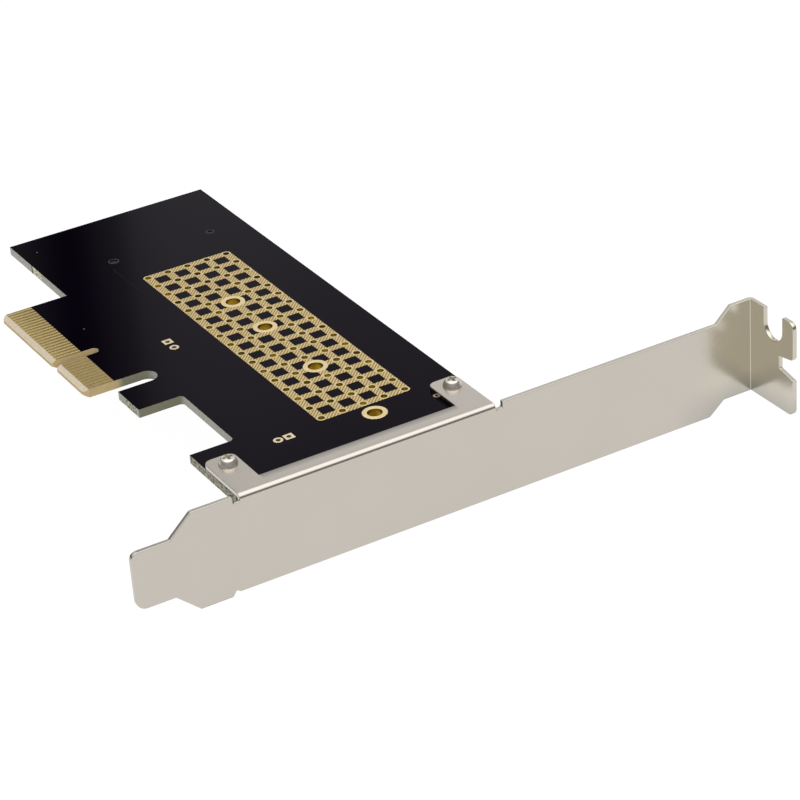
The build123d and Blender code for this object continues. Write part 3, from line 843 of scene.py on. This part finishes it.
class CARD_OT_screws(bpy.types.Operator):
    """Turn the two pan-head screws with their cross recesses and the threads below the nuts"""

    bl_idname = "card.screws"
    bl_label = "Bracket screws"

    def execute(self, context):
        sizes, colours = settings()
        low, high = (Vector(corner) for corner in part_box("bracket_screws"))
        head_r = (high.y - low.y) / 2
        seat = BOARD_HIGH.z + SHEET
        head_h = high.z - seat
        shank = 1.0 * MM
        root = 0.8 * MM
        pitch = 0.4 * MM
        lead = 0.2 * MM
        profile = [(root * 0.6, low.z), (shank, low.z + lead)]
        for turn in range(sizes.thread_turns + 4):
            base = low.z + lead + turn * pitch
            profile += [(root, base + pitch / 2), (shank, base + pitch)]
        profile += [(shank, seat)]
        profile += [(head_r * across, seat + head_h * rise) for across, rise in HEAD_PROFILE]
        screw = lathe("screw", profile, 64)
        pick(screw)
        bpy.ops.object.mode_set(mode="EDIT")
        bpy.ops.mesh.select_all(action="DESELECT")
        bpy.ops.mesh.select_non_manifold()
        bpy.ops.mesh.edge_face_add()
        bpy.ops.object.mode_set(mode="OBJECT")
        tidy_mesh(screw, 0.0005 * MM)
        reach, wide, depth = 1.05 * MM, 0.28 * MM, 0.75 * MM
        for quarter in range(2):
            wing = box("wing", (-reach, -wide, high.z - depth), (reach, wide, high.z + 0.3 * MM))
            select_edges(wing, lambda a, b: max(a.z, b.z) < high.z - depth / 2)
            bpy.ops.transform.resize(value=(0.5, 0.6, 1.0), center_override=(0, 0, high.z - depth))
            bpy.ops.mesh.select_all(action="SELECT")
            bpy.ops.transform.rotate(value=math.pi / 2 * quarter, orient_axis="Z", center_override=(0, 0, 0))
            bpy.ops.object.mode_set(mode="OBJECT")
            cut(screw, wing)
        places = [Vector((x, (low.y + high.y) / 2, 0.0)) for x in (low.x + head_r, high.x - head_r)]
        screws = copies(screw, places, "pan_head_screws")
        smooth(screws, 28.0)
        coat(screws, nickel_material("screw_nickel", colours.bright_nickel, 0.32, 3200.0))
        ride(screws, "screw_plating", "bracket_screws")
        return {"FINISHED"}


class CARD_OT_nuts(bpy.types.Operator):
    """Chamfer the corners of the two hexagon nuts"""

    bl_idname = "card.nuts"
    bl_label = "Bracket nuts"

    def execute(self, context):
        _, colours = settings()
        nuts = dressed("bracket_nuts", "hexagon_nuts")
        modify(nuts, "BEVEL", width=0.12 * MM, segments=2, limit_method="ANGLE",
               angle_limit=math.radians(40), use_clamp_overlap=False)
        smooth(nuts, 30.0)
        coat(nuts, nickel_material("nut_nickel", shade(colours.bright_nickel, 0.9), 0.24, 2600.0))
        ride(nuts, "nut_plating", "bracket_nuts")
        return {"FINISHED"}


class CARD_OT_socket(bpy.types.Operator):
    """Finish the module socket's housing, terminals and hold-down tabs"""

    bl_idname = "card.socket"
    bl_label = "Module socket"

    def execute(self, context):
        _, colours = settings()
        housing = dressed("socket_housing", "moulded_housing")
        modify(housing, "BEVEL", width=0.06 * MM, segments=2, limit_method="ANGLE",
               angle_limit=math.radians(40), use_clamp_overlap=True)
        smooth(housing, 30.0)
        coat(housing, plastic_material("housing_plastic", (0.018, 0.018, 0.021), 0.6, level=0.12))
        ride(housing, "housing_plastic", "socket_housing")
        gold = gold_material("terminal_gold", colours.bright_gold, 0.24)
        coat(NODES["socket_upper_terminals"], gold)
        coat(NODES["socket_lower_terminals"], gold)
        coat(NODES["socket_hold_downs"], gold_material("tin_plate", colours.tin, 0.38))
        return {"FINISHED"}


class CARD_OT_chips(bpy.types.Operator):
    """Finish the small surface-mounted capacitors and resistors"""

    bl_idname = "card.chips"
    bl_label = "Capacitors and resistors"

    def execute(self, context):
        _, colours = settings()
        ceramic = plastic_material("fired_ceramic", (0.22, 0.13, 0.075), 0.5, 2600.0)
        glaze = plastic_material("resistor_glaze", (0.012, 0.012, 0.014), 0.3, 2600.0)
        solder = gold_material("chip_tin", colours.tin, 0.33)
        for node, finish in (
            ("bulk_capacitor_bodies", ceramic), ("small_capacitor_bodies", ceramic), ("resistor_bodies", glaze),
            ("bulk_capacitor_ends", solder), ("small_capacitor_ends", solder), ("resistor_ends", solder),
        ):
            coat(NODES[node], finish)
        return {"FINISHED"}


class CARD_OT_stage(bpy.types.Operator):
    """Set the floor, the soft lights, the white surroundings and the camera"""

    bl_idname = "card.stage"
    bl_label = "Stage, lights and camera"
    focal_pixels = 2921.09
    frame_pixels = 800.0
    soft_light = 0.6
    # Degrees above the horizon or of bearing, and how bright metal mirrors the room there
    before_levels = ((0, 0.2), (24, 0.22), (30, 0.5), (39, 1.2), (47, 1.85), (90, 1.85))
    behind_levels = ((0, 0.4), (20, 0.98), (29, 0.97), (37, 0.7), (47, 0.85), (55, 0.85), (60, 1.2), (64, 1.85),
                     (90, 1.85))
    turn_levels = ((15, 1.0), (17, 1.0), (20.5, 0.45), (20.8, 0.36), (21.0, 0.25), (21.2, 0.19), (21.4, 0.09),
                   (21.6, 0.03), (21.9, 0.03), (22.1, 0.06), (22.3, 0.17), (22.55, 0.29), (22.8, 0.35), (23.0, 0.46),
                   (23.2, 0.85), (24, 1.05), (25.2, 1.1), (27.5, 0.97), (28.2, 0.95), (30, 0.95))
    corner_level = 0.15

    def execute(self, context):
        scene = context.scene
        scene.view_settings.view_transform = "Standard"
        self.floor()
        self.surroundings(scene)
        self.lamp("overhead", (0.05, -0.05, 0.75), (0.04, -0.02, 0.0), 0.9, 4.0)
        self.lamp("front", (-0.25, -0.8, 0.35), (0.04, -0.04, 0.0), 0.6, 2.5)
        self.camera(scene)
        return {"FINISHED"}

    def floor(self):
        deselect()
        bpy.ops.mesh.primitive_plane_add(size=6.0, location=(0, 0, cad_bounds[0][2] - 0.1 * MM))
        floor = new_piece("floor")
        settle(floor)
        shader = Shader("floor_paper")
        tone = shader.mix(shader.noise(3.0), (0.96, 0.96, 0.96), (0.98, 0.98, 0.98))
        shader.finish(Base_Color=tone, Roughness=0.9, Specular_IOR_Level=0.1)
        output = shader.tree.nodes["Material Output"]
        rays = shader.add("ShaderNodeLightPath").outputs
        glow = shader.add("ShaderNodeEmission", {"Color": (1, 1, 1), "Strength": 1.03}).outputs["Emission"]
        seen = shader.math("MAXIMUM", rays["Is Camera Ray"],
                           shader.math("MAXIMUM", rays["Is Glossy Ray"], rays["Is Transmission Ray"]))
        share = shader.math("MULTIPLY", seen, 0.955)
        blend = shader.add("ShaderNodeMixShader", {"Fac": share})
        shader.put(shader.surface.outputs["BSDF"], blend.inputs[1])
        shader.put(glow, blend.inputs[2])
        shader.put(blend.outputs["Shader"], output.inputs["Surface"])
        coat(floor, shader.material)

    def surroundings(self, scene):
        world = bpy.data.worlds.new("white_room")
        scene.world = world
        world.use_nodes = True
        room = Nodes(world.node_tree)
        rays = room.add("ShaderNodeLightPath").outputs
        seen = room.math("MAXIMUM", rays["Is Camera Ray"], rays["Is Transmission Ray"])
        mirrored = room.span(rays["Is Glossy Ray"], 0.0, 1.0, self.soft_light, self.room_seen_in_metal(room))
        strength = room.span(seen, 0.0, 1.0, mirrored, 1.0)
        room.put(strength, world.node_tree.nodes["Background"].inputs["Strength"])
        room.put((1.0, 1.0, 1.0), world.node_tree.nodes["Background"].inputs["Color"])

    def room_seen_in_metal(self, room):
        """Softbox overhead, a dark strip before the table, a dim post in the white wall behind and a dark corner"""
        x, y, z = room.axes(room.add("ShaderNodeTexCoord").outputs["Generated"])
        rise = room.math("DEGREES", room.math("ARCSINE", z))
        turn = room.math("DEGREES", room.math("ARCTAN2", x, y))
        before = room.levels(rise, 0.0, 90.0, self.before_levels)
        behind = room.levels(rise, 0.0, 90.0, self.behind_levels)
        wall = room.levels(turn, 15.0, 30.0, self.turn_levels)
        low_wall = room.math("MULTIPLY", behind, room.span(rise, 40.0, 52.0, wall, 1.0))
        corner = room.math("MULTIPLY", room.span(turn, -5.0, 10.0, 1.0, 0.0), room.span(rise, 22.0, 30.0, 1.0, 0.0))
        back = room.span(corner, 0.0, 1.0, low_wall, self.corner_level)
        return room.span(y, -0.2, 0.25, before, back)

    def lamp(self, name, place, target, size, power):
        data = bpy.data.lights.new(name, "AREA")
        data.shape = "DISK"
        data.size = size
        data.energy = power
        lamp = bpy.data.objects.new(name, data)
        lamp.location = place
        lamp.rotation_euler = (Vector(target) - Vector(place)).to_track_quat("-Z", "Y").to_euler()
        lamp.visible_glossy = False
        bpy.context.collection.objects.link(lamp)

    def camera(self, scene):
        azimuth, elevation, roll = math.radians(-28.707), math.radians(29.204), math.radians(-4.274)
        target = Vector((41.972, -46.378, 0.0)) * MM
        distance = 485.83 * MM
        forward = Vector((-math.sin(azimuth) * math.cos(elevation),
                          math.cos(azimuth) * math.cos(elevation), -math.sin(elevation)))
        level = forward.cross(Vector((0, 0, 1))).normalized()
        right = Matrix.Rotation(-roll, 3, forward) @ level
        up = right.cross(forward)
        data = bpy.data.cameras.new("photo_camera")
        data.sensor_width = 36.0
        data.lens = self.focal_pixels / self.frame_pixels * data.sensor_width
        data.clip_start = 0.01
        camera = bpy.data.objects.new("photo_camera", data)
        turn = Matrix((right, up, -forward)).transposed()
        camera.matrix_world = Matrix.Translation(target - forward * distance) @ turn.to_4x4()
        bpy.context.collection.objects.link(camera)
        scene.camera = camera


class CARD_PT_panel(bpy.types.Panel):
    """Lists the card's sizes, colours and steps"""

    bl_label = "Adapter card"
    bl_idname = "CARD_PT_panel"
    bl_space_type = "VIEW_3D"
    bl_region_type = "UI"
    bl_category = "Adapter card"

    def draw(self, context):
        for group in settings():
            for name in group.bl_rna.properties.keys():
                if name not in ("rna_type", "name"):
                    self.layout.prop(group, name)
        for step in STEPS:
            self.layout.operator(step.bl_idname)


STEPS = (CARD_OT_board, CARD_OT_copper_fields, CARD_OT_plated_holes, CARD_OT_contacts, CARD_OT_bracket,
         CARD_OT_screws, CARD_OT_nuts, CARD_OT_socket, CARD_OT_chips, CARD_OT_stage)
CLASSES = (CardSizes, CardColours, *STEPS, CARD_PT_panel)


def register():
    for item in CLASSES:
        bpy.utils.register_class(item)
    bpy.types.Scene.card_sizes = PointerProperty(type=CardSizes)
    bpy.types.Scene.card_colours = PointerProperty(type=CardColours)


def unregister():
    del bpy.types.Scene.card_colours
    del bpy.types.Scene.card_sizes
    for item in reversed(CLASSES):
        bpy.utils.unregister_class(item)


def main():
    register()
    bpy.ops.card.board()
    bpy.ops.card.copper_fields()
    bpy.ops.card.plated_holes()
    bpy.ops.card.contacts()
    bpy.ops.card.bracket()
    bpy.ops.card.screws()
    bpy.ops.card.nuts()
    bpy.ops.card.socket()
    bpy.ops.card.chips()
    bpy.ops.card.stage()


if __name__ == "__main__":
    main()
